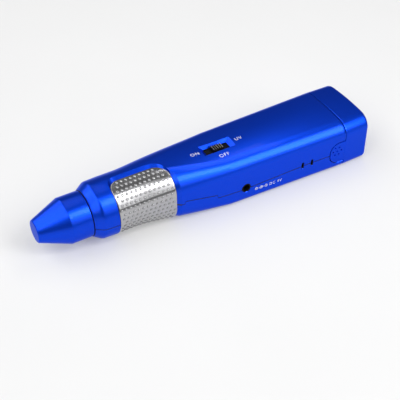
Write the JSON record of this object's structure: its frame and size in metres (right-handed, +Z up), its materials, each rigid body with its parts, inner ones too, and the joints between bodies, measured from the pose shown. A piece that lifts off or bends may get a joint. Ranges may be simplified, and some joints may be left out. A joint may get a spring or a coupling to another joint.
{
  "type": "diamond tester",
  "caption": "Pen-shaped thermal diamond tester with a pull-off probe cap, dimpled metal touch grip, slide switch, power jack and a pull-off battery cover at the rear.",
  "frame": {"origin": "middle of the bounding box, on the surface that the tester lies on", "axes": "+X from the probe cap to the battery cover, +Z up out of the switch face, -Y towards the side with the power jack"},
  "size_m": [0.1712, 0.0376, 0.028],
  "materials": {
    "blue_shell": "metallic blue lacquer over plastic, glossy",
    "grip_metal": "bright dimpled sheet",
    "black_plastic": "fine satin grain",
    "nose_plastic": "satin",
    "ring_rubber": "matt",
    "lamp_violet": "clear",
    "copper": "turned, bright",
    "heater_white": "fired ceramic, matt",
    "spring_steel": "drawn wire",
    "lead_orange": "soft cable skin",
    "board_green": "solder mask",
    "chip_black": "moulded",
    "part_tan": "fired",
    "screw_steel": "plated",
    "switch_metal": "pressed sheet",
    "lamp_green": "tinted",
    "lamp_yellow": "tinted",
    "lamp_red": "tinted",
    "lens_smoke": "smoked, polished",
    "contact_brass": "sheet",
    "battery_skin": "printed sleeve",
    "terminal_steel": "pressed",
    "lead_red": "soft cable skin",
    "lead_black": "soft cable skin",
    "pad_foam": "open foam"
  },
  "bodies": {
    "housing": {"upper_shell": "blue_shell", "lower_shell": "blue_shell", "grip_plate": "grip_metal", "probe_housing": "nose_plastic", "cap_ring": "ring_rubber", "uv_led": "lamp_violet", "probe_spring": "spring_steel", "spring_retainer": "nose_plastic", "probe_leads": "lead_orange", "main_board": "board_green", "control_chip": "chip_black", "board_parts": "part_tan", "board_screws": "screw_steel", "slide_switch": "switch_metal", "dc_jack": "black_plastic", "dc_jack_pin": "terminal_steel", "buzzer": "black_plastic", "green_lamps": "lamp_green", "yellow_lamps": "lamp_yellow", "red_lamps": "lamp_red", "indicator_lens": "lens_smoke", "touch_contact": "contact_brass", "battery": "battery_skin", "battery_terminals": "terminal_steel", "battery_snap": "black_plastic", "red_lead": "lead_red", "black_lead": "lead_black", "case_screws": "screw_steel"},
    "cap": {"probe_cap": "blue_shell"},
    "probe": {"probe_needle": "copper", "heater_block": "heater_white"},
    "knob": {"switch_knob": "black_plastic"},
    "cover": {"battery_cover": "blue_shell", "battery_pad": "pad_foam"}
  },
  "joints": [
    {"name": "cap_pull", "type": "slide", "parent": "housing", "child": "cap", "axis": [-1, 0, 0], "range_m": [0, 0.03]},
    {"name": "cover_pull", "type": "slide", "parent": "housing", "child": "cover", "axis": [1, 0, 0], "range_m": [0, 0.03]},
    {"name": "switch_slide", "type": "slide", "parent": "housing", "child": "knob", "axis": [1, 0, 0], "range_m": [-0.003, 0.003]},
    {"name": "probe_press", "type": "slide", "parent": "housing", "child": "probe", "axis": [1, 0, 0], "range_m": [0, 0.0015], "stiffness_N_per_m": 400, "springref_m": -0.001, "deforming": ["probe_spring"]}
  ]
}
